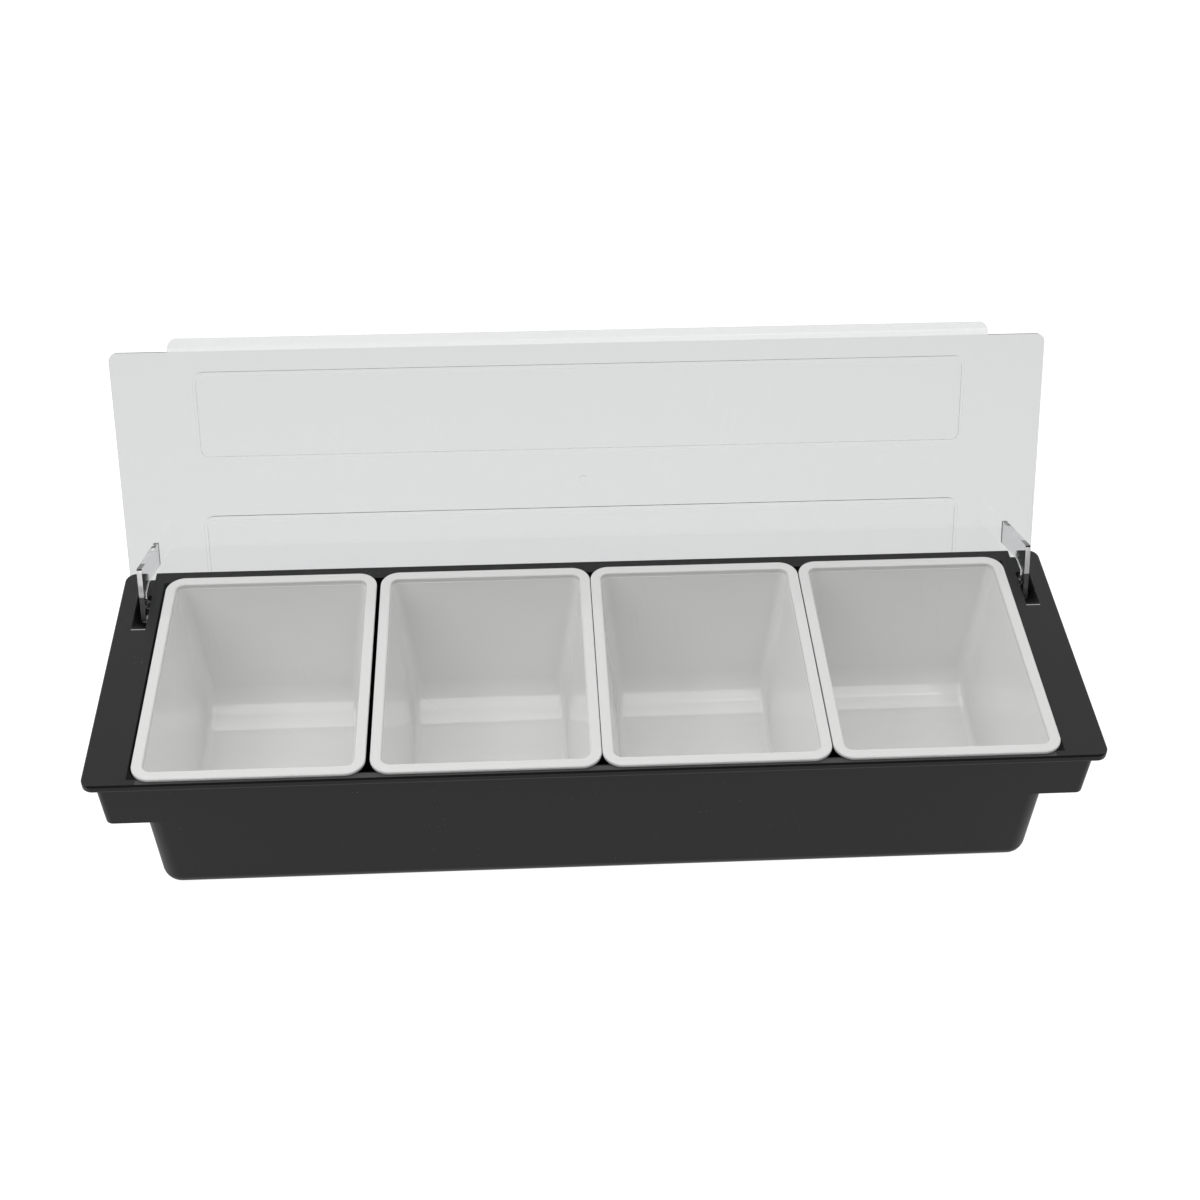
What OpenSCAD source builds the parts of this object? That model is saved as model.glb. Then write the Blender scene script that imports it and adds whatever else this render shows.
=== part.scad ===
/* [Tray] */
// Length of the rim past the mouth of the tub at each end
end_l = 26.3; // [25:0.1:34]
// Depth of the tray over its rim, front to back
tray_d = 156; // [148:1:180]
// Height of the top of the tray rim above the table
tray_h = 87; // [75:1:110]
// Thickness of the flat rim plate
plate_t = 3; // [2.4:0.1:3.4]
// Height of the turned-down edge round the rim plate
edge_h = 3.8; // [3.5:0.1:8]
// Thickness of the turned-down edge
edge_t = 2.2; // [1.6:0.1:3]
// Rounding of the upper corner of the edge
edge_r = 1; // [0.4:0.1:1.4]
// Plan radius of the rim's four corners
rim_corner_r = 6; // [4:0.5:12]
// Wall thickness of the tub and the end skirts
wall_t = 1.8; // [1.6:0.1:3]
// Thickness of the tub floor
floor_t = 2.4; // [1.8:0.1:4]
// Radius of the tub's corners and bottom edge
tub_r = 10; // [5:0.5:12]
// How far each end wall of the tub leans in by its foot
end_taper = 1.6; // [1:0.1:5]
// How far the tub's front and back walls lean in by the foot
side_taper = 4.7; // [3:0.1:9.5]
// Height of the flat sole under the tub
sole_h = 0.6; // [0.4:0.1:1.5]
// Distance from the sole's edge to the tub's rounded bottom edge
sole_inset = 1; // [0.5:0.5:6]
// How far the rim overhangs the end skirts
skirt_inset = 5.8; // [5:0.1:9]
// Height of the end skirts below the rim plate
skirt_h = 28.6; // [24:0.1:40]
// How far each end skirt leans in by its foot
skirt_taper = 0.6; // [0.2:0.1:1.5]
// Radius of each end skirt's two upright corners
skirt_corner_r = 4; // [3:0.5:7]

/* [Inserts] */
// Length of one insert's rim along the tray
cup_l = 112.9; // [100:0.1:113]
// Depth of one insert's rim, front to back
cup_d = 147; // [130:0.5:148]
// Thickness of the insert's rim
cup_rim_t = 1.6; // [1.2:0.1:3]
// Rounding of the rim's outer upper edge
cup_edge_r = 0.7; // [0.4:0.1:1.1]
// Rounding from the rim into the cup
cup_lip_r = 0.9; // [0.4:0.1:3.4]
// How far the rim overhangs the insert's wall
cup_over = 4.4; // [3.5:0.1:7]
// Wall thickness of the insert
cup_wall = 1.2; // [1:0.1:2]
// Plan radius of the rim's corners
cup_corner_r = 10; // [9:0.5:16]
// Radius inside the bottom of the insert along its sides and up its corners
cup_bottom_r = 4.5; // [3:0.5:14]
// Radius inside the bottom of the insert along its front and back
cup_scoop_r = 28; // [16:0.5:36]
// How far the insert's side walls lean in by the foot
cup_taper_x = 8.5; // [3:0.1:11]
// How far the insert's front and back walls lean in by the foot
cup_taper_y = 12.9; // [9:0.1:16]
// Radius of the round pad on the insert's floor
pad_r = 14; // [8:0.5:20]
// Height of the round pad
pad_h = 0.6; // [0.3:0.1:1]
// Strip of tray rim left in front of the inserts
front_ledge = 2; // [1.6:0.1:4]
// Gap between the first and the second insert
gap_a = 2; // [0.3:0.1:2.2]
// Gap between the second and the third insert
gap_b = 0.3; // [0.3:0.1:1]
// Gap between the third and the fourth insert
gap_c = 0.5; // [0.3:0.1:1]
// How far the row of inserts stands off the tray's middle
row_shift = 0.5; // [0:0.1:1.2]
// Clearance between the inserts and the tub's end walls
cup_end_gap = 0.4; // [0.3:0.1:2]
// Clearance between the inserts and the tub's front and back walls
cup_side_gap = 2.2; // [0.8:0.1:2.5]
// Depth of the step in the rim plate beyond each end of the mouth
step_d = 1; // [0.6:0.1:1.4]
// Clearance between that step's end and the nearest insert's rim
step_gap = 0.3; // [0.2:0.05:0.6]
// Clearance under the inserts
cup_floor_gap = 0.8; // [0.4:0.1:3]
// Gap under the inserts' rims where they rest
seat_gap = 0.2; // [0.1:0.05:0.4]

/* [Hinge] */
// Distance from the tray's middle back to the hinge axis
pivot_y = 55.8; // [52:0.1:57]
// Depth of the hinge axis below the top of the rim
pivot_drop = 3; // [2.8:0.1:4]
// Radius of the pivot stub
pin_r = 1.6; // [1.3:0.1:1.8]
// Radial clearance of the stub in its socket
pin_gap = 0.08; // [0.05:0.01:0.1]
// Radius of the stub's cone where it leaves the ear
cone_r = 2.6; // [2:0.1:2.8]
// Radius of the ear round the pivot
boss_r = 3; // [2.4:0.1:3.1]
// Thickness of an ear
ear_t = 2.6; // [2:0.1:3]
// Width of the ear's arm
arm_w = 12.4; // [9:0.1:12.6]
// Depth of the ear's foot below the pivot when the lid is shut
foot_drop = 7.4; // [5:0.1:9]
// Gap between the foot's tail and the bridge it hooks under when the lid is shut
hook_gap = 0.3; // [0.2:0.05:0.5]
// Length of the foot behind the pivot when the lid is shut
foot_tail = 9; // [7:0.1:9.5]
// Height above the pivot where the arm's back edge starts to slope forward
brace_h = 9; // [6:0.1:12]
// Distance of that slope's lower end in front of the pivot
brace_y = 6; // [4:0.1:8]
// Radius of the ear's lower front corner
ear_corner_r = 2; // [1:0.1:3]
// Thickness of the cheek that holds the pivot stub
cheek_t = 2.5; // [2:0.1:4]
// Cheek below the socket
cheek_under = 3.5; // [2.5:0.1:8]
// Gap left between the stub's cone and the cheek
cone_gap = 0.3; // [0.2:0.05:0.5]
// Gap from the ear to the slot's inner side, which the stub bridges
ear_in_gap = 2.3; // [1.8:0.1:4]
// Gap from the ear to the slot's outer side
ear_out_gap = 2.6; // [1:0.1:3]
// Clearance between the slot and the end skirt's wall
slot_wall_gap = 1.2; // [0.3:0.1:1.6]
// Gap between the swinging ear and the front end of its slot
slot_front_gap = 0.45; // [0.4:0.05:3]
// Gap between the pivot boss and the back end of its slot
slot_back_gap = 0.4; // [0.3:0.1:0.8]
// Gap left where the open lid leans on the bridge behind its slot
stop_gap = 0.3; // [0.2:0.05:0.5]
// Depth of the notch behind the bridge
notch_d = 6.2; // [5:0.1:8]

/* [Lid] */
// Lean of the open lid past upright, in degrees
lean = 23.5; // [15:0.5:28]
// Thickness of the lid
lid_t = 2; // [1.6:0.1:3]
// How far the lid reaches past each end of the tray
lid_side = 3.5; // [0:0.5:8]
// Height of the shut lid's underside above the rim
lid_rise = 38.9; // [34:0.1:42]
// Width of the lid's flat panel, back edge to front edge
lid_l = 152; // [140:0.5:156]
// Distance from the hinge axis to the back edge of the shut lid
rear_reach = 24.3; // [18:0.1:27]
// Plan radius of the lid's corners
lid_corner_r = 4.5; // [2:0.5:10]
// Distance the finger tab stands in from each end of the lid
tab_inset = 31.5; // [20:0.5:60]
// Length of the finger tab along the lid's front edge
tab_l = 7.4; // [6:0.1:12]
// Upward turn of the finger tab from the lid, in degrees
tab_turn = 18; // [10:0.5:30]
// Radius of the finger tab's front corners
tab_corner_r = 5; // [2:0.5:6]
// Height of the two raised panels and depth of the pockets under them
panel_h = 1.2; // [0.6:0.1:1.3]
// Distance of the raised panels from each end of the lid
panel_inset = 43; // [30:0.5:80]
// Width of each raised panel, front to back
panel_w = 48.5; // [30:0.5:55]
// Distance of each raised panel from the nearest long edge
panel_edge = 11.5; // [8:0.5:16]
// Corner radius of the raised panels
panel_r = 6; // [3:0.5:10]
// Radius of the moulding mark in the middle of the lid
gate_r = 2.2; // [1:0.1:4]
// Height of the moulding mark
gate_h = 0.7; // [0.3:0.1:1.2]

/* [Smoothness] */
// Segments round a true curve
curve_n = 48; // [32:4:96]
// Segments round a shell corner
shell_n = 32; // [16:4:32]
// Segments round the inserts' front and back bottom curve
wheel_n = 48; // [24:8:64]

/* [Hidden] */
eps = 0.01;

// the row of inserts
row_l = 4 * cup_l + gap_a + gap_b + gap_c;
row_x0 = row_shift - row_l / 2;
cup_x = [
  row_x0 + cup_l / 2,
  row_x0 + 1.5 * cup_l + gap_a,
  row_x0 + 2.5 * cup_l + gap_a + gap_b,
  row_x0 + 3.5 * cup_l + gap_a + gap_b + gap_c
];
cup_y0 = front_ledge - tray_d / 2;
cup_y = cup_y0 + cup_d / 2;
cup_z0 = tray_h + seat_gap;
cup_z1 = cup_z0 + cup_rim_t;

// the tub, whose mouth is set by the inserts
mouth_x = row_l / 2 + row_shift - cup_over + cup_end_gap;
tray_l = 2 * (mouth_x + end_l);
mouth_y0 = cup_y0 + cup_over - cup_side_gap;
mouth_y1 = cup_y0 + cup_d - cup_over + cup_side_gap;
step_x = row_l / 2 + row_shift + step_gap;
tub_z1 = tray_h - plate_t;
cup_foot = sole_h + floor_t + cup_floor_gap;

// the tub's front and back lean as a slope, and the skirts that run into those walls
lean_reach = [side_taper + tub_r, tub_z1 - sole_h - tub_r];
tub_lean = tan(atan2(lean_reach[0], lean_reach[1]) - asin(tub_r / norm(lean_reach)));
skirt_sink = 0.1;
skirt_t = wall_t - 0.25;
skirt_x0 = mouth_x + wall_t - tub_r - end_taper;
skirt_arc = shell_n / 4;
cup_neck = cup_z0 - (cup_lip_r - cup_rim_t > 0 ? cup_lip_r : cup_rim_t);

// the hinge
pivot_z = tray_h - pivot_drop;
shut_turn = 90 + lean;
slot_out = tray_l / 2 - skirt_inset - wall_t - slot_wall_gap;
ear_x1 = slot_out - ear_out_gap;
ear_x0 = ear_x1 - ear_t;
slot_in = ear_x0 - ear_in_gap;
slot_y1 = pivot_y + boss_r + slot_back_gap;
bridge_y1 = tray_d / 2 - notch_d;
foot_top = pivot_drop - plate_t - hook_gap;
tail_r = (foot_drop + foot_top) / 2;
arm_back = (bridge_y1 - pivot_y) * sin(lean) + pivot_drop * cos(lean) + stop_gap;
arm_front = arm_back + arm_w;
sweep_r = norm([arm_front - ear_corner_r, foot_drop - ear_corner_r]) + ear_corner_r;
slot_y0 = pivot_y - sweep_r - slot_front_gap;
cheek_z0 = pivot_z - pin_r - pin_gap - cheek_under;
cheek_y0 = pivot_y - pin_r - pin_gap - cheek_under;

// the shut lid
lid_z0 = tray_h + lid_rise;
lid_y1 = pivot_y + rear_reach;
lid_y0 = lid_y1 - lid_l;
lid_x = tray_l / 2 + lid_side;
tab_x = lid_x - tab_inset;
panel_x = lid_x - panel_inset;

// a rounded rectangle of true arcs, its lower left corner at x0, y0
module plan(x0, y0, x1, y1, r) {
  translate([x0 + r, y0]) square([x1 - x0 - 2 * r, y1 - y0]);
  translate([x0, y0 + r]) square([x1 - x0, y1 - y0 - 2 * r]);
  for (x = [x0 + r, x1 - r], y = [y0 + r, y1 - r])
    translate([x, y]) circle(r = r, $fn = curve_n);
}

// a profile, drawn inward from 0 along -X, carried round a rounded rectangle
module carry(x0, y0, x1, y1, r) {
  for (k = [[x1 - r, y1 - r, 0], [x0 + r, y1 - r, 90], [x0 + r, y0 + r, 180], [x1 - r, y0 + r, 270]])
    translate([k[0], k[1], 0]) rotate([0, 0, k[2]])
      rotate_extrude(angle = 90, $fn = curve_n) translate([r, 0]) children();
  for (s = [[x1 - r, y1, 90, x1 - x0], [x1, y0 + r, 0, y1 - y0], [x0 + r, y0, 270, x1 - x0], [x0, y1 - r, 180, y1 - y0]])
    translate([s[0], s[1], 0]) rotate([0, 0, s[2]])
      translate([0, s[3] - 2 * r, 0]) rotate([90, 0, 0]) linear_extrude(s[3] - 2 * r) children();
}

// a shell's block: discs at the mouth, balls or rounded wheels at the foot
module block(x0, y0, x1, y1, tx, ty, z0, z1, r_mouth, r_foot, r_sweep) {
  hull() {
    for (x = [x0 + r_mouth, x1 - r_mouth], y = [y0 + r_mouth, y1 - r_mouth])
      translate([x, y, z1 - eps]) cylinder(r = r_mouth, h = eps, $fn = shell_n);
    for (x = [x0 + tx + r_foot, x1 - tx - r_foot], y = [y0 + ty + r_sweep, y1 - ty - r_sweep])
      translate([x, y, z0 + r_sweep])
        if (r_sweep > r_foot)
          rotate([0, 90, 0]) rotate_extrude($fn = wheel_n)
            translate([r_sweep - r_foot, 0]) circle(r = r_foot, $fn = shell_n);
        else
          sphere(r = r_foot, $fn = shell_n);
  }
}

module edge_profile() {
  difference() {
    translate([-edge_t, -edge_h]) square([edge_t, edge_h]);
    translate([-edge_r, -edge_r]) difference() {
      square([2 * edge_r, 2 * edge_r]);
      circle(r = edge_r, $fn = curve_n);
    }
  }
}

module rim_plate() {
  in = edge_t - eps;
  translate([0, 0, tray_h - plate_t]) linear_extrude(plate_t) difference() {
    plan(in - tray_l / 2, in - tray_d / 2, tray_l / 2 - in, tray_d / 2 - in, rim_corner_r - in);
    plan(-mouth_x, mouth_y0, mouth_x, mouth_y1, tub_r - wall_t);
  }
  translate([0, 0, tray_h])
    carry(-tray_l / 2, -tray_d / 2, tray_l / 2, tray_d / 2, rim_corner_r) edge_profile();
}

// a skirt's outline at height z, from its front inner corner round to its back one
function skirt_ring(inset, z) = let(
  r = skirt_corner_r - inset,
  lean = tub_lean * (tub_z1 - z),
  x0 = skirt_x0 - (inset > 0 ? 1 : 0),
  x1 = tray_l / 2 - skirt_inset - inset - skirt_taper * (tub_z1 - z) / skirt_h,
  y0 = mouth_y0 - wall_t + skirt_sink + inset + lean,
  y1 = mouth_y1 + wall_t - skirt_sink - inset - lean
) concat(
  [[x0, y0, z]],
  [for (i = [0 : skirt_arc]) [x1 - r + r * sin(90 * i / skirt_arc), y0 + r - r * cos(90 * i / skirt_arc), z]],
  [for (i = [0 : skirt_arc]) [x1 - r + r * cos(90 * i / skirt_arc), y1 - r + r * sin(90 * i / skirt_arc), z]],
  [[x0, y1, z]]
);

module skirt_block(inset, z0, z1) {
  low = skirt_ring(inset, z0);
  n = len(low);
  polyhedron(
    points = concat(low, skirt_ring(inset, z1)),
    faces = concat(
      [[for (i = [0 : n - 1]) i]],
      [[for (i = [n - 1 : -1 : 0]) n + i]],
      [for (i = [0 : n - 1]) [i, n + i, n + (i + 1) % n, (i + 1) % n]]
    )
  );
}

module end_parts() {
  z0 = tub_z1 - skirt_h;
  difference() {
    skirt_block(0, z0, tub_z1 + eps);
    skirt_block(skirt_t, z0 - 2, tub_z1 + 1);
  }
  // the cheek that carries the lid's stub
  translate([slot_in - cheek_t, cheek_y0, cheek_z0])
    cube([cheek_t, mouth_y1 + wall_t / 2 - cheek_y0, tub_z1 - cheek_z0 + eps]);
}

module end_cuts() {
  translate([slot_in, slot_y0, tray_h - 2 * edge_h])
    cube([slot_out - slot_in, slot_y1 - slot_y0, 3 * edge_h]);
  translate([slot_in, bridge_y1, tray_h - 2 * edge_h])
    cube([slot_out - slot_in, notch_d + 1, 3 * edge_h]);
  translate([slot_in - cheek_t - eps, pivot_y, pivot_z]) rotate([0, 90, 0])
    cylinder(r = pin_r + pin_gap, h = cheek_t + 2 * eps, $fn = curve_n);
}

module tray() {
  color("#2b2b2d") difference() {
    union() {
      rim_plate();
      difference() {
        block(-mouth_x - wall_t, mouth_y0 - wall_t, mouth_x + wall_t, mouth_y1 + wall_t,
          end_taper, side_taper, sole_h, tub_z1 + eps, tub_r, tub_r, tub_r);
        block(-mouth_x, mouth_y0, mouth_x, mouth_y1,
          end_taper, side_taper, sole_h + floor_t, tub_z1 + 1, tub_r - wall_t, tub_r - wall_t, tub_r - wall_t);
      }
      linear_extrude(sole_h + floor_t / 2)
        plan(-mouth_x - wall_t + end_taper + tub_r + sole_inset,
          mouth_y0 - wall_t + side_taper + tub_r + sole_inset,
          mouth_x + wall_t - end_taper - tub_r - sole_inset,
          mouth_y1 + wall_t - side_taper - tub_r - sole_inset, tub_r);
      for (m = [0, 1]) mirror([m, 0, 0]) end_parts();
    }
    translate([0, 0, tray_h - step_d]) linear_extrude(step_d + 1)
      plan(-step_x, mouth_y0, step_x, mouth_y1, tub_r - wall_t);
    for (m = [0, 1]) mirror([m, 0, 0]) end_cuts();
  }
}

module cup_rim_profile() {
  in = cup_over + cup_wall;
  difference() {
    union() {
      translate([-in, 0]) square([in, cup_rim_t]);
      translate([-in, cup_neck - cup_z0]) square([cup_wall, cup_z0 - cup_neck + eps]);
    }
    translate([-cup_edge_r, cup_rim_t - cup_edge_r]) difference() {
      square([2 * cup_edge_r, 2 * cup_edge_r]);
      circle(r = cup_edge_r, $fn = curve_n);
    }
    translate([cup_lip_r - in, cup_rim_t - cup_lip_r]) difference() {
      translate([-2 * cup_lip_r, 0]) square([2 * cup_lip_r, 2 * cup_lip_r]);
      circle(r = cup_lip_r, $fn = curve_n);
    }
  }
}

module insert(i) {
  x1 = cup_l / 2;
  y1 = cup_d / 2;
  in = cup_over + cup_wall;
  color("#f4f4f2") translate([cup_x[i], cup_y, 0]) {
    translate([0, 0, cup_z0]) carry(-x1, -y1, x1, y1, cup_corner_r) cup_rim_profile();
    difference() {
      block(cup_over - x1, cup_over - y1, x1 - cup_over, y1 - cup_over, cup_taper_x, cup_taper_y,
        cup_foot, cup_neck + eps, cup_corner_r - cup_over, cup_bottom_r + cup_wall, cup_scoop_r + cup_wall);
      block(in - x1, in - y1, x1 - in, y1 - in, cup_taper_x, cup_taper_y,
        cup_foot + cup_wall, cup_neck + 1, cup_corner_r - in, cup_bottom_r, cup_scoop_r);
    }
    translate([0, 0, cup_foot + cup_wall / 2])
      cylinder(r = pad_r, h = cup_wall / 2 + pad_h, $fn = curve_n);
  }
}

module ear_outline() {
  // drawn in Y and Z from the hinge axis, the lid shut
  r = ear_corner_r;
  arm_top = lid_rise + pivot_drop + lid_t / 2;
  translate([-arm_front, r - foot_drop]) square([arm_w, foot_drop - r + arm_top]);
  translate([r - arm_front, -foot_drop]) square([arm_front - r + foot_tail - tail_r, foot_drop + foot_top]);
  translate([r - arm_front, r - foot_drop]) circle(r = r, $fn = curve_n);
  translate([foot_tail - tail_r, tail_r - foot_drop]) circle(r = tail_r, $fn = curve_n);
  polygon([
    [-arm_back - eps, foot_top - eps],
    [-arm_back - eps, brace_h],
    [-arm_back, brace_h],
    [-brace_y, 0],
    [-brace_y, foot_top - eps]
  ]);
  translate([-boss_r, foot_top - eps]) square([2 * boss_r, eps - foot_top]);
  circle(r = boss_r, $fn = curve_n);
}

module ear() {
  translate([ear_x0, pivot_y, pivot_z]) {
    rotate([90, 0, 90]) linear_extrude(ear_t) ear_outline();
    rotate([0, -90, 0]) {
      cylinder(r = pin_r, h = ear_in_gap + cheek_t, $fn = curve_n);
      cylinder(r1 = cone_r, r2 = pin_r, h = ear_in_gap - cone_gap, $fn = curve_n);
    }
  }
}

module tab() {
  // carried on from the lid's front edge, turned up
  c = cos(tab_turn);
  s = sin(tab_turn);
  reach = tab_l * c;
  intersection() {
    translate([-tab_x, lid_y0, lid_z0]) rotate([90, 0, 90]) linear_extrude(2 * tab_x)
      polygon([
        [1, 0],
        [0, 0],
        [-tab_l * c, tab_l * s],
        [lid_t * s - tab_l * c, tab_l * s + lid_t * c],
        [lid_t * tan(tab_turn / 2), lid_t],
        [1, lid_t]
      ]);
    translate([0, 0, lid_z0 - 1]) linear_extrude(tab_l + 2 * lid_t)
      plan(-tab_x, lid_y0 - reach, tab_x, lid_y0 + 3 * tab_corner_r, tab_corner_r);
  }
}

module lid_shut() {
  back = [lid_y1 - panel_edge - panel_w, lid_y0 + panel_edge];
  difference() {
    union() {
      translate([0, 0, lid_z0]) linear_extrude(lid_t) plan(-lid_x, lid_y0, lid_x, lid_y1, lid_corner_r);
      for (y = back) translate([0, 0, lid_z0 + lid_t / 2]) linear_extrude(lid_t / 2 + panel_h)
        plan(-panel_x, y, panel_x, y + panel_w, panel_r);
      translate([0, (lid_y0 + lid_y1) / 2, lid_z0 + lid_t / 2])
        cylinder(r = gate_r, h = lid_t / 2 + gate_h, $fn = curve_n);
      tab();
      for (m = [0, 1]) mirror([m, 0, 0]) ear();
    }
    for (y = back) translate([0, 0, lid_z0 - 1]) linear_extrude(1 + panel_h)
      plan(lid_t - panel_x, y + lid_t, panel_x - lid_t, y + panel_w - lid_t, panel_r - lid_t);
  }
}

module lid() {
  color("#dfe5ea") translate([0, pivot_y, pivot_z]) rotate([-shut_turn, 0, 0])
    translate([0, -pivot_y, -pivot_z]) lid_shut();
}

module insert_1() { insert(0); }
module insert_2() { insert(1); }
module insert_3() { insert(2); }
module insert_4() { insert(3); }

tray();
lid();
insert_1();
insert_2();
insert_3();
insert_4();
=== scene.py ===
import math

import bmesh
import bpy
from mathutils import Euler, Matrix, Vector


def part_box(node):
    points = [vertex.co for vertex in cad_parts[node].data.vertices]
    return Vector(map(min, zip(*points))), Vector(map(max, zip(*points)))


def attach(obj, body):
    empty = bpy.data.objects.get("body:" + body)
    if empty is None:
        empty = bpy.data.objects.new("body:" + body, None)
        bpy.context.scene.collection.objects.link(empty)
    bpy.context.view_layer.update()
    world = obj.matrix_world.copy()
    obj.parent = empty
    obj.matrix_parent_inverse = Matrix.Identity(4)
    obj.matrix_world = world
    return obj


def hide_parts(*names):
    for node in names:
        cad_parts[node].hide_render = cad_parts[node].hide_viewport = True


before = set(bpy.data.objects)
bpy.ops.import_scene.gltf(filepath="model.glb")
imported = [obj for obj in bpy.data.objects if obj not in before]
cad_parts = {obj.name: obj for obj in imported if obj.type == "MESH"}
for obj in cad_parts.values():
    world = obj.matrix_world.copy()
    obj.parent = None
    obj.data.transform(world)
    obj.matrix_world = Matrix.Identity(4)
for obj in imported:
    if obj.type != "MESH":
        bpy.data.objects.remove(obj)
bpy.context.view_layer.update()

MM = 0.001

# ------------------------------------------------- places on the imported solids

TRAY_LOW, TRAY_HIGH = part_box("tray")
TRAY_FRONT = TRAY_LOW.y
TRAY_END = TRAY_HIGH.x
RIM_TOP = TRAY_HIGH.z
EDGE_FOOT = RIM_TOP - 3.8 * MM  # lower corner of the rim's turned-down edge
INSERT_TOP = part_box("insert_1")[1].z
INSERTS = sorted(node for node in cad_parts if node.startswith("insert_"))

# the tub's mouth and the step past its ends, both measured from the tray's middle
MOUTH_END = 0.2237
MOUTH_FRONT = -0.0738
MOUTH_BACK = 0.0688
STEP_END = 0.2280

# the slots that the lid's ears swing in, and the ears themselves
SLOT_IN = 0.2337
SLOT_OUT = 0.2412
SLOT_FRONT = 0.0328
EAR_IN = 0.2358
EAR_OUT = 0.2388
EAR_TOP = 0.110
EAR_FORWARD = -0.6  # a face whose normal has its Y below this is a front face

# zones of a piece that differ in tone by painted shade or painted highlights: their ends across (either
# side of the middle), along and up
PAST_ALL = 1.0  # a distance beyond the whole caddy, for a zone with an open side
STEP_SHADE = ((MOUTH_END, STEP_END + 0.4 * MM),
              (MOUTH_FRONT - 0.3 * MM, MOUTH_BACK + 0.3 * MM),
              (RIM_TOP - 3.2 * MM, RIM_TOP + 0.1 * MM))
FRONT_STRIP = ((-PAST_ALL, MOUTH_END),
               (TRAY_FRONT + 0.7 * MM, TRAY_FRONT + 3.5 * MM),
               (RIM_TOP - 0.1 * MM, RIM_TOP + 0.2 * MM))
FRONT_TURN = ((-PAST_ALL, TRAY_END - 1.0 * MM),
              (TRAY_FRONT - 0.2 * MM, TRAY_FRONT + 1.0 * MM),
              (RIM_TOP - 1.0 * MM, RIM_TOP - 0.05 * MM))
FRONT_CORNER = ((-PAST_ALL, TRAY_END - 1.0 * MM),
                (TRAY_FRONT - 0.2 * MM, TRAY_FRONT + 0.6 * MM),
                (EDGE_FOOT - 0.1 * MM, EDGE_FOOT + 0.6 * MM))
SLOT_LIP = ((SLOT_IN, SLOT_OUT),
            (SLOT_FRONT - 0.5 * MM, SLOT_FRONT + 0.4 * MM),
            (RIM_TOP - 0.8 * MM, RIM_TOP + 0.2 * MM))
EAR_SHADE = ((-PAST_ALL, PAST_ALL),
             (-PAST_ALL, PAST_ALL),
             (0.0, RIM_TOP + 5.5 * MM))
# heights between which the painted shade on the inserts' rims comes in
INSERT_RIM_START = INSERT_TOP - 2.8 * MM
INSERT_RIM_FULL = INSERT_TOP - 0.2 * MM

# --------------------------------------------------------------- moulded edges

WELD = 0.002 * MM  # corners nearer than this are one
FLAT_ANGLE = math.radians(0.6)  # faces that turn less than this are joined
EDGE_ANGLE = math.radians(32)  # edges that turn more than this are rounded
SMOOTH_ANGLE = math.radians(34)  # edges that still turn more than this are shaded crisp
EDGE_SEGMENTS = 2
EVEN_WEIGHT = 90  # how far the large faces lead the shading of the small ones
TRAY_EDGE = 0.3 * MM
INSERT_EDGE = 0.2 * MM
LID_EDGE = 0.25 * MM

# ---------------------------------------- finishes, as linear red, green, blue

TRAY_DARK = (0.006, 0.006, 0.0063)
TRAY_LIGHT = (0.009, 0.009, 0.0093)
TRAY_SCRATCH = (0.07, 0.07, 0.072)
TRAY_DUST = (0.3, 0.3, 0.3)
# painted shade, for the step beside the end inserts and the turn of the front edge
TRAY_SHADE_LINE = (0.001, 0.001, 0.001)
# painted highlight, for the strip in front of the inserts and the edge's lower corner
TRAY_PAINTED_HIGHLIGHT = (0.048, 0.048, 0.0485)
# painted glint, for the front lips of the slots
TRAY_PAINTED_GLINT = (0.42, 0.42, 0.42)
TRAY_ROUGHNESS = (0.30, 0.42)
TRAY_SCRATCH_ROUGHNESS = 0.3

INSERT_DARK = (0.735, 0.735, 0.73)
INSERT_LIGHT = (0.765, 0.765, 0.76)
INSERT_SCRATCH = (0.68, 0.68, 0.67)
# painted shade, which greys the tops of the inserts' rims
INSERT_RIM_SHADE = (0.65, 0.65, 0.645)
INSERT_ROUGHNESS = (0.02, 0.05)

LID_TINT = (0.705, 0.709, 0.713)
LID_SCRATCH = (0.9, 0.9, 0.9)
LID_ROUGHNESS = 0.03
LID_SCRATCH_ROUGHNESS = 0.25
LID_LIGHT_PASSED = 0.86  # share of the light that gets through the lid to what it shades

MILKY_DARK = (0.86, 0.86, 0.86)
MILKY_LIGHT = (0.95, 0.95, 0.95)
# painted shade, on the ears where they go down into the slots
MILKY_SLOT_SHADE = (0.12, 0.12, 0.12)
MILKY_ROUGHNESS = (0.15, 0.3)

MOULDED_IOR = 1.5
CLEAR_IOR = 1.49

# ------------------------------------------------------------- camera and room

CAMERA_PLACE = (-0.0343, -0.66135, 0.72326)
CAMERA_TURN = (48.065, -0.4375, -2.852)  # degrees about X, Y and Z
CAMERA_LENS = 53.32
CAMERA_SENSOR = 36
CAMERA_REACH = 50

FLOOR_SIZE = 14.0
FLOOR_SQUARES = 4
FLOOR_DARK = (0.19, 0.19, 0.19)
FLOOR_LIGHT = (0.21, 0.21, 0.21)
FLOOR_ROUGHNESS = 0.9
FLOOR_GLOW_SEEN = 1.0  # where the camera sees the floor
FLOOR_GLOW_THROUGH = 0.84  # where it sees it through the lid
FLOOR_GLOW_SIDE = 0.55  # where the floor only lights the caddy or is reflected in it

WHITE = (1, 1, 1, 1)
WORLD_FRONT = 0.12
WORLD_BACK = 1.0
WORLD_TURN = (-0.6, 0.7)  # how far back the surroundings start and stop getting brighter

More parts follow.
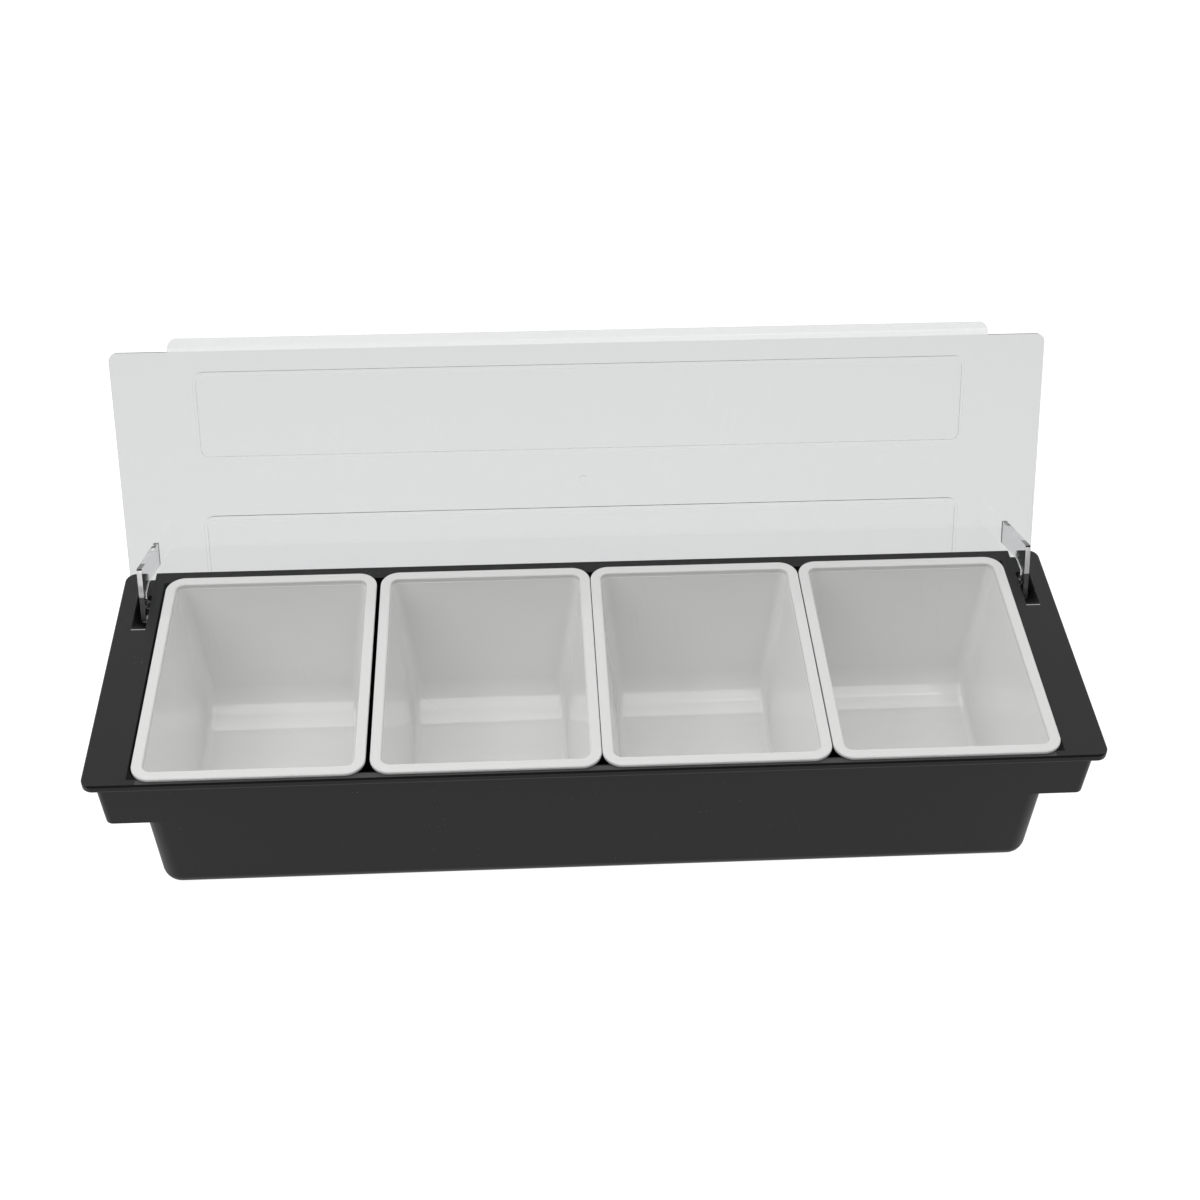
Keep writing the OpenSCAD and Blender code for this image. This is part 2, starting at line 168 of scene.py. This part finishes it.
SOFTBOXES = (
    # name, place, target, width, depth, power in watts, shows only in reflections
    ("top_softbox", (-0.10, -0.36, 1.25), (-0.05, 0.0, 0.05), 1.7, 0.75, 6.6, False),
    ("front_panel", (-0.05, -1.10, 0.98), (-0.05, 0.05, 0.05), 1.7, 0.86, 9.5, True),
    ("left_softbox", (-1.15, -0.30, 1.05), (0, 0, 0.05), 0.9, 0.9, 6.3, False),
    ("right_softbox", (1.3, 0.0, 1.1), (0, 0, 0.05), 0.9, 0.9, 3.5, False),
)


# ---------------------------------------------------------------- node helpers

def math_node(tree, operation, a, b=None, clamp=False):
    """One sum, on numbers or sockets."""
    node = tree.nodes.new("ShaderNodeMath")
    node.operation = operation
    node.use_clamp = clamp
    for i, value in enumerate((a, b)):
        if value is None:
            continue
        if isinstance(value, (int, float)):
            node.inputs[i].default_value = value
        else:
            tree.links.new(value, node.inputs[i])
    return node.outputs[0]


def risen(tree, source, level, gain):
    """How far a pattern rises over a level, times a gain, held between nought and one."""
    return math_node(tree, "MULTIPLY", math_node(tree, "SUBTRACT", source, level), gain, clamp=True)


def ranged(tree, source, low, high, start=0.0, stop=1.0, curve="LINEAR"):
    """Low where the source is at start or less, high where it is at stop or more."""
    node = tree.nodes.new("ShaderNodeMapRange")
    node.interpolation_type = curve
    for label, value in (("From Min", start), ("From Max", stop), ("To Min", low), ("To Max", high)):
        node.inputs[label].default_value = value
    tree.links.new(source, node.inputs["Value"])
    return node.outputs["Result"]


def split(tree, vector):
    """The X, Y and Z of a vector."""
    node = tree.nodes.new("ShaderNodeSeparateXYZ")
    tree.links.new(vector, node.inputs[0])
    return node.outputs


def object_coordinates(tree):
    return tree.nodes.new("ShaderNodeTexCoord").outputs["Object"]


def noise(tree, scale, detail, roughness, vector):
    """A noise pattern. Its scale is a number or a socket."""
    node = tree.nodes.new("ShaderNodeTexNoise")
    if isinstance(scale, (int, float)):
        node.inputs["Scale"].default_value = scale
    else:
        tree.links.new(scale, node.inputs["Scale"])
    node.inputs["Detail"].default_value = detail
    node.inputs["Roughness"].default_value = roughness
    tree.links.new(vector, node.inputs["Vector"])
    return node.outputs["Fac"]


def found(sockets, name, kind):
    """The socket of this name and kind, where several have the name."""
    return next(s for s in sockets if s.name == name and s.type == kind)


def mix_color(tree, mask, under, over):
    """The colour over where the mask is one, and the colour under where it is nought."""
    node = tree.nodes.new("ShaderNodeMix")
    node.data_type = "RGBA"
    for name, value in (("A", under), ("B", over)):
        target = found(node.inputs, name, "RGBA")
        if isinstance(value, tuple):
            target.default_value = (*value, 1)
        else:
            tree.links.new(value, target)
    tree.links.new(mask, found(node.inputs, "Factor", "VALUE"))
    return found(node.outputs, "Result", "RGBA")


def bumped(tree, shader, height, distance, strength):
    """Fine relief on a shader, from a height pattern."""
    node = tree.nodes.new("ShaderNodeBump")
    node.inputs["Distance"].default_value = distance
    node.inputs["Strength"].default_value = strength
    tree.links.new(height, node.inputs["Height"])
    tree.links.new(node.outputs["Normal"], shader.inputs["Normal"])


# -------------------------------------------------------------- shared effects

def value_group(name, inputs, outputs):
    """An empty group with named number inputs and outputs."""
    group = bpy.data.node_groups.new(name, "ShaderNodeTree")
    for label, value in inputs:
        socket = group.interface.new_socket(name=label, in_out="INPUT", socket_type="NodeSocketFloat")
        socket.default_value = value
    for label in outputs:
        group.interface.new_socket(name=label, in_out="OUTPUT", socket_type="NodeSocketFloat")
    start = group.nodes.new("NodeGroupInput")
    end = group.nodes.new("NodeGroupOutput")
    return group, start, end


def make_mould_texture():
    """Fine moulded grain over slow waves: a height, and a slow variation."""
    inputs = [("Grain Scale", 2600.0), ("Grain Weight", 0.5), ("Wave Scale", 22.0)]
    group, start, end = value_group("mould_texture", inputs, ["Height", "Variation"])
    place = object_coordinates(group)
    grain = noise(group, start.outputs["Grain Scale"], detail=2.0, roughness=0.6, vector=place)
    wave = noise(group, start.outputs["Wave Scale"], detail=3.0, roughness=0.5, vector=place)
    weighted = math_node(group, "MULTIPLY", grain, start.outputs["Grain Weight"])
    group.links.new(math_node(group, "ADD", weighted, wave), end.inputs["Height"])
    group.links.new(wave, end.inputs["Variation"])
    return group


def make_hairlines():
    """Sparse fine scratches in two directions, as a mask."""
    inputs = [("Length Scale", 26.0), ("Width Scale", 1500.0), ("Amount", 0.5)]
    group, start, end = value_group("hairlines", inputs, ["Mask"])
    place = object_coordinates(group)
    lean = (0.2, 0.1)  # radians about X and Y
    turns = (0.35, -0.8)  # radians about Z
    total = None
    for turn in turns:
        turned = group.nodes.new("ShaderNodeMapping")
        turned.inputs["Rotation"].default_value = (*lean, turn)
        group.links.new(place, turned.inputs["Vector"])
        scales = group.nodes.new("ShaderNodeCombineXYZ")
        for way, label in (("X", "Length Scale"), ("Y", "Width Scale"), ("Z", "Length Scale")):
            group.links.new(start.outputs[label], scales.inputs[way])
        drawn_out = group.nodes.new("ShaderNodeVectorMath")
        drawn_out.operation = "MULTIPLY"
        group.links.new(turned.outputs["Vector"], drawn_out.inputs[0])
        group.links.new(scales.outputs["Vector"], drawn_out.inputs[1])
        streak = noise(group, scale=1.0, detail=0.0, roughness=0.5, vector=drawn_out.outputs["Vector"])
        line = risen(group, streak, level=0.74, gain=14.0)
        total = line if total is None else math_node(group, "MAXIMUM", total, line)
    patch = noise(group, scale=9.0, detail=2.0, roughness=0.5, vector=place)
    patch = risen(group, patch, level=0.45, gain=5.0)
    mask = math_node(group, "MULTIPLY", total, patch)
    amount = math_node(group, "MULTIPLY", mask, start.outputs["Amount"], clamp=True)
    group.links.new(amount, end.inputs["Mask"])
    return group


def make_specks():
    """Dust specks, sparse and uneven, as a mask."""
    inputs = [("Scale", 420.0), ("Size", 0.09), ("Amount", 0.6)]
    group, start, end = value_group("specks", inputs, ["Mask"])
    place = object_coordinates(group)
    cells = group.nodes.new("ShaderNodeTexVoronoi")
    group.links.new(start.outputs["Scale"], cells.inputs["Scale"])
    group.links.new(place, cells.inputs["Vector"])
    near = math_node(group, "SUBTRACT", start.outputs["Size"], cells.outputs["Distance"])
    crispness = 30.0
    dot = math_node(group, "MULTIPLY", near, crispness, clamp=True)
    pick = noise(group, scale=55.0, detail=1.0, roughness=0.5, vector=place)
    pick = risen(group, pick, level=0.60, gain=12.0)
    mask = math_node(group, "MULTIPLY", dot, pick)
    amount = math_node(group, "MULTIPLY", mask, start.outputs["Amount"], clamp=True)
    group.links.new(amount, end.inputs["Mask"])
    return group


def make_zone():
    """A mask that is one inside a box of the piece. X is the distance either side of the middle."""
    limits = [f"{way} {limit}" for way in "XYZ" for limit in ("Low", "High")]
    group, start, end = value_group("zone", [(limit, 0.0) for limit in limits], ["Mask"])
    parts = split(group, object_coordinates(group))
    mask = None
    for way in "XYZ":
        place = parts[way]
        if way == "X":
            place = math_node(group, "ABSOLUTE", place)
        above = math_node(group, "GREATER_THAN", place, start.outputs[f"{way} Low"])
        below = math_node(group, "LESS_THAN", place, start.outputs[f"{way} High"])
        inside = math_node(group, "MULTIPLY", above, below)
        mask = inside if mask is None else math_node(group, "MULTIPLY", mask, inside)
    group.links.new(mask, end.inputs["Mask"])
    return group


def make_effects():
    """The node groups that the materials share."""
    return {"mould": make_mould_texture(), "hairlines": make_hairlines(), "specks": make_specks(),
            "zone": make_zone()}


def placed(tree, group, **values):
    """A group set down in a material, with its own values."""
    node = tree.nodes.new("ShaderNodeGroup")
    node.node_tree = group
    for label, value in values.items():
        node.inputs[label.replace("_", " ")].default_value = value
    return node.outputs


def zone_mask(tree, effects, zone):
    """The mask of one zone, from its low and high ends across, along and up."""
    ends = {}
    for way, (low, high) in zip("XYZ", zone):
        ends[f"{way}_Low"] = low
        ends[f"{way}_High"] = high
    return placed(tree, effects["zone"], **ends)["Mask"]


# ------------------------------------------------------------------- materials

def new_material(name):
    """A material with its nodes and its main shader."""
    material = bpy.data.materials.new(name)
    material.use_nodes = True
    tree = material.node_tree
    return material, tree, tree.nodes["Principled BSDF"]


def set_values(shader, values):
    """Values that are the same all over the surface."""
    for label, value in values.items():
        shader.inputs[label].default_value = value


def make_tray_plastic(effects):
    """Dark satin plastic with painted shade lines, and painted highlights and a painted glint along the
    rim.
    """
    material, tree, shader = new_material("tray_black_plastic")
    mould = placed(tree, effects["mould"], Grain_Scale=2400.0, Grain_Weight=0.35, Wave_Scale=16.0)
    lines = placed(tree, effects["hairlines"], Amount=0.06)["Mask"]
    dust = placed(tree, effects["specks"], Amount=0.7)["Mask"]
    base = mix_color(tree, mould["Variation"], TRAY_DARK, TRAY_LIGHT)
    base = mix_color(tree, lines, base, TRAY_SCRATCH)
    base = mix_color(tree, dust, base, TRAY_DUST)
    # painted shade, black and fully rough, in the step beside the end inserts and along the turn of the
    # front edge
    step, turn = zone_mask(tree, effects, STEP_SHADE), zone_mask(tree, effects, FRONT_TURN)
    painted_shade = math_node(tree, "MAXIMUM", step, turn)
    # painted highlight, paler along the strip in front of the inserts and the edge's lower corner
    strip, corner = zone_mask(tree, effects, FRONT_STRIP), zone_mask(tree, effects, FRONT_CORNER)
    painted_highlight = math_node(tree, "MAXIMUM", strip, corner)
    base = mix_color(tree, painted_shade, base, TRAY_SHADE_LINE)
    base = mix_color(tree, painted_highlight, base, TRAY_PAINTED_HIGHLIGHT)
    # painted glint along the front lip of each slot
    base = mix_color(tree, zone_mask(tree, effects, SLOT_LIP), base, TRAY_PAINTED_GLINT)
    tree.links.new(base, shader.inputs["Base Color"])
    rough = ranged(tree, mould["Variation"], *TRAY_ROUGHNESS)
    scratched = math_node(tree, "MULTIPLY", lines, TRAY_SCRATCH_ROUGHNESS)
    rough = math_node(tree, "ADD", rough, scratched, clamp=True)
    rough = math_node(tree, "MAXIMUM", rough, painted_shade, clamp=True)
    tree.links.new(rough, shader.inputs["Roughness"])
    set_values(shader, {"IOR": MOULDED_IOR, "Specular IOR Level": 0.3})
    bumped(tree, shader, mould["Height"], distance=0.03 * MM, strength=0.2)
    return material


def make_insert_plastic(effects):
    """Glossy white plastic, a little greyer at the rim by painted shade."""
    material, tree, shader = new_material("insert_white_plastic")
    mould = placed(tree, effects["mould"], Grain_Scale=1800.0, Grain_Weight=0.15, Wave_Scale=14.0)
    lines = placed(tree, effects["hairlines"], Amount=0.35)["Mask"]
    height = split(tree, object_coordinates(tree))["Z"]
    # painted shade on the rim, coming in over its top few millimetres
    rim = ranged(tree, height, 0.0, 1.0, start=INSERT_RIM_START, stop=INSERT_RIM_FULL)
    base = mix_color(tree, mould["Variation"], INSERT_DARK, INSERT_LIGHT)
    base = mix_color(tree, lines, base, INSERT_SCRATCH)
    base = mix_color(tree, rim, base, INSERT_RIM_SHADE)
    tree.links.new(base, shader.inputs["Base Color"])
    tree.links.new(ranged(tree, mould["Variation"], *INSERT_ROUGHNESS), shader.inputs["Roughness"])
    set_values(shader, {"IOR": MOULDED_IOR, "Specular IOR Level": 0.75})
    bumped(tree, shader, mould["Height"], distance=0.03 * MM, strength=0.1)
    return material


def make_lid_plastic(effects):
    """Clear plastic with a slight grey cast, which throws only a faint shadow."""
    material, tree, shader = new_material("lid_clear_plastic")
    mould = placed(tree, effects["mould"], Grain_Scale=900.0, Grain_Weight=0.05, Wave_Scale=9.0)
    lines = placed(tree, effects["hairlines"], Amount=0.12)["Mask"]
    tree.links.new(mix_color(tree, lines, LID_TINT, LID_SCRATCH), shader.inputs["Base Color"])
    scratched = math_node(tree, "MULTIPLY", lines, LID_SCRATCH_ROUGHNESS)
    rough = math_node(tree, "ADD", scratched, LID_ROUGHNESS, clamp=True)
    tree.links.new(rough, shader.inputs["Roughness"])
    set_values(shader, {"Transmission Weight": 1.0, "IOR": CLEAR_IOR, "Specular IOR Level": 0.2})
    path = tree.nodes.new("ShaderNodeLightPath").outputs
    passed = math_node(tree, "MULTIPLY", path["Is Shadow Ray"], LID_LIGHT_PASSED)
    tree.links.new(math_node(tree, "SUBTRACT", 1.0, passed), shader.inputs["Alpha"])
    bumped(tree, shader, mould["Height"], distance=0.03 * MM, strength=0.1)
    return material


def make_milky_plastic(effects):
    """The ears' narrow front faces, left slightly milky where the mould parts, with painted shade low down,
    in and just above the slots.
    """
    material, tree, shader = new_material("lid_milky_edge")
    mould = placed(tree, effects["mould"], Grain_Scale=1500.0, Grain_Weight=0.3, Wave_Scale=30.0)
    base = mix_color(tree, mould["Variation"], MILKY_DARK, MILKY_LIGHT)
    # painted shade where the ears go down into the slots
    base = mix_color(tree, zone_mask(tree, effects, EAR_SHADE), base, MILKY_SLOT_SHADE)
    tree.links.new(base, shader.inputs["Base Color"])
    tree.links.new(ranged(tree, mould["Variation"], *MILKY_ROUGHNESS), shader.inputs["Roughness"])
    set_values(shader, {"Transmission Weight": 0.4, "IOR": CLEAR_IOR})
    bumped(tree, shader, mould["Height"], distance=0.02 * MM, strength=0.1)
    return material


def make_floor_finish():
    """Matt floor with a white glow: full where it is seen, less through the lid, least as a light."""
    material, tree, shader = new_material("studio_floor")
    tone = noise(tree, scale=3.0, detail=2.0, roughness=0.5, vector=object_coordinates(tree))
    tree.links.new(mix_color(tree, tone, FLOOR_DARK, FLOOR_LIGHT), shader.inputs["Base Color"])
    set_values(shader, {"Roughness": FLOOR_ROUGHNESS, "Specular IOR Level": 0.0, "Emission Color": WHITE})
    path = tree.nodes.new("ShaderNodeLightPath").outputs
    through = ranged(tree, path["Is Transmission Ray"], FLOOR_GLOW_SIDE, FLOOR_GLOW_THROUGH)
    seen = math_node(tree, "MULTIPLY", path["Is Camera Ray"], FLOOR_GLOW_SEEN)
    tree.links.new(math_node(tree, "MAXIMUM", through, seen), shader.inputs["Emission Strength"])
    return material


# ---------------------------------------------------------------------- pieces

def new_object(name, bm):
    """An object at the origin with the bmesh as its smooth-shaded mesh."""
    mesh = bpy.data.meshes.new(name)
    for face in bm.faces:
        face.smooth = True
    bm.to_mesh(mesh)
    bm.free()
    piece = bpy.data.objects.new(name, mesh)
    bpy.context.scene.collection.objects.link(piece)
    return piece


def corner_angle(edge):
    """The angle between the two faces at an edge, or nought where it hasn't two."""
    return edge.calc_face_angle(0) if len(edge.link_faces) == 2 else 0


def refined(node, name, edge_width):
    """A copy of a CAD solid with its flat faces joined and its edges rounded off."""
    bm = bmesh.new()
    bm.from_mesh(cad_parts[node].data)
    bmesh.ops.remove_doubles(bm, verts=bm.verts, dist=WELD)
    bmesh.ops.dissolve_limit(bm, angle_limit=FLAT_ANGLE, verts=bm.verts, edges=bm.edges, delimit={"NORMAL"})
    sharp = [edge for edge in bm.edges if corner_angle(edge) > EDGE_ANGLE]
    bmesh.ops.bevel(bm, geom=sharp, offset=edge_width, offset_type="OFFSET", affect="EDGES",
                    segments=EDGE_SEGMENTS, profile=0.5, clamp_overlap=True, material=-1)
    for edge in bm.edges:
        edge.smooth = corner_angle(edge) < SMOOTH_ANGLE
    piece = new_object(name, bm)
    even = piece.modifiers.new("even_shading", "WEIGHTED_NORMAL")
    even.mode = "FACE_AREA"
    even.weight = EVEN_WEIGHT
    even.keep_sharp = True
    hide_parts(node)
    return piece


def finish_piece(piece, body, material):
    """Gives a piece its material and its body."""
    piece.data.materials.clear()
    piece.data.materials.append(material)
    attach(piece, body)


def add_tray(effects):
    finish_piece(refined("tray", "tray_shell", TRAY_EDGE), "tray", make_tray_plastic(effects))


def add_inserts(effects):
    plastic = make_insert_plastic(effects)
    for node in INSERTS:
        finish_piece(refined(node, f"{node}_pan", INSERT_EDGE), node, plastic)


def add_lid(effects):
    """The clear sheet with its ears, whose lower front faces are milky."""
    sheet = refined("lid", "lid_sheet", LID_EDGE)
    finish_piece(sheet, "lid", make_lid_plastic(effects))
    sheet.data.materials.append(make_milky_plastic(effects))
    milky = len(sheet.data.materials) - 1
    for face in sheet.data.polygons:
        on_ear = EAR_IN < abs(face.center.x) < EAR_OUT and face.center.z < EAR_TOP
        if on_ear and face.normal.y < EAR_FORWARD:
            face.material_index = milky


# ------------------------------------------------------------------------ room

def add_floor():
    bm = bmesh.new()
    bmesh.ops.create_grid(bm, x_segments=FLOOR_SQUARES, y_segments=FLOOR_SQUARES, size=FLOOR_SIZE / 2)
    floor = new_object("studio_floor", bm)
    floor.data.materials.append(make_floor_finish())


def add_surroundings():
    """Soft surroundings, brighter behind the caddy than in front, and plain white where they are seen."""
    world = bpy.data.worlds.new("studio")
    world.use_nodes = True
    tree = world.node_tree
    backward = split(tree, tree.nodes.new("ShaderNodeTexCoord").outputs["Generated"])["Y"]
    soft = ranged(tree, backward, WORLD_FRONT, WORLD_BACK, *WORLD_TURN, curve="SMOOTHSTEP")
    path = tree.nodes.new("ShaderNodeLightPath").outputs
    seen = math_node(tree, "MAXIMUM", path["Is Camera Ray"], path["Is Transmission Ray"])
    background = tree.nodes["Background"]
    tree.links.new(math_node(tree, "MAXIMUM", soft, seen), background.inputs["Strength"])
    background.inputs["Color"].default_value = WHITE
    bpy.context.scene.world = world


def add_softbox(name, place, target, width, depth, power, glints_only):
    """A rectangular light aimed at a point. The camera doesn't see the light itself."""
    data = bpy.data.lights.new(name, "AREA")
    data.shape = "RECTANGLE"
    data.size = width
    data.size_y = depth
    data.energy = power
    lamp = bpy.data.objects.new(name, data)
    bpy.context.scene.collection.objects.link(lamp)
    lamp.location = place
    lamp.rotation_euler = (Vector(target) - Vector(place)).to_track_quat("-Z", "Y").to_euler()
    lamp.visible_camera = False
    lamp.visible_diffuse = not glints_only


def add_camera():
    data = bpy.data.cameras.new("camera")
    data.sensor_width = CAMERA_SENSOR
    data.lens = CAMERA_LENS
    data.clip_end = CAMERA_REACH
    camera = bpy.data.objects.new("camera", data)
    bpy.context.scene.collection.objects.link(camera)
    camera.location = CAMERA_PLACE
    camera.rotation_euler = Euler([math.radians(angle) for angle in CAMERA_TURN], "XYZ")
    bpy.context.scene.camera = camera


effects = make_effects()
add_tray(effects)
add_inserts(effects)
add_lid(effects)
add_floor()
add_surroundings()
for softbox in SOFTBOXES:
    add_softbox(*softbox)
bpy.context.scene.view_settings.view_transform = "Standard"
add_camera()
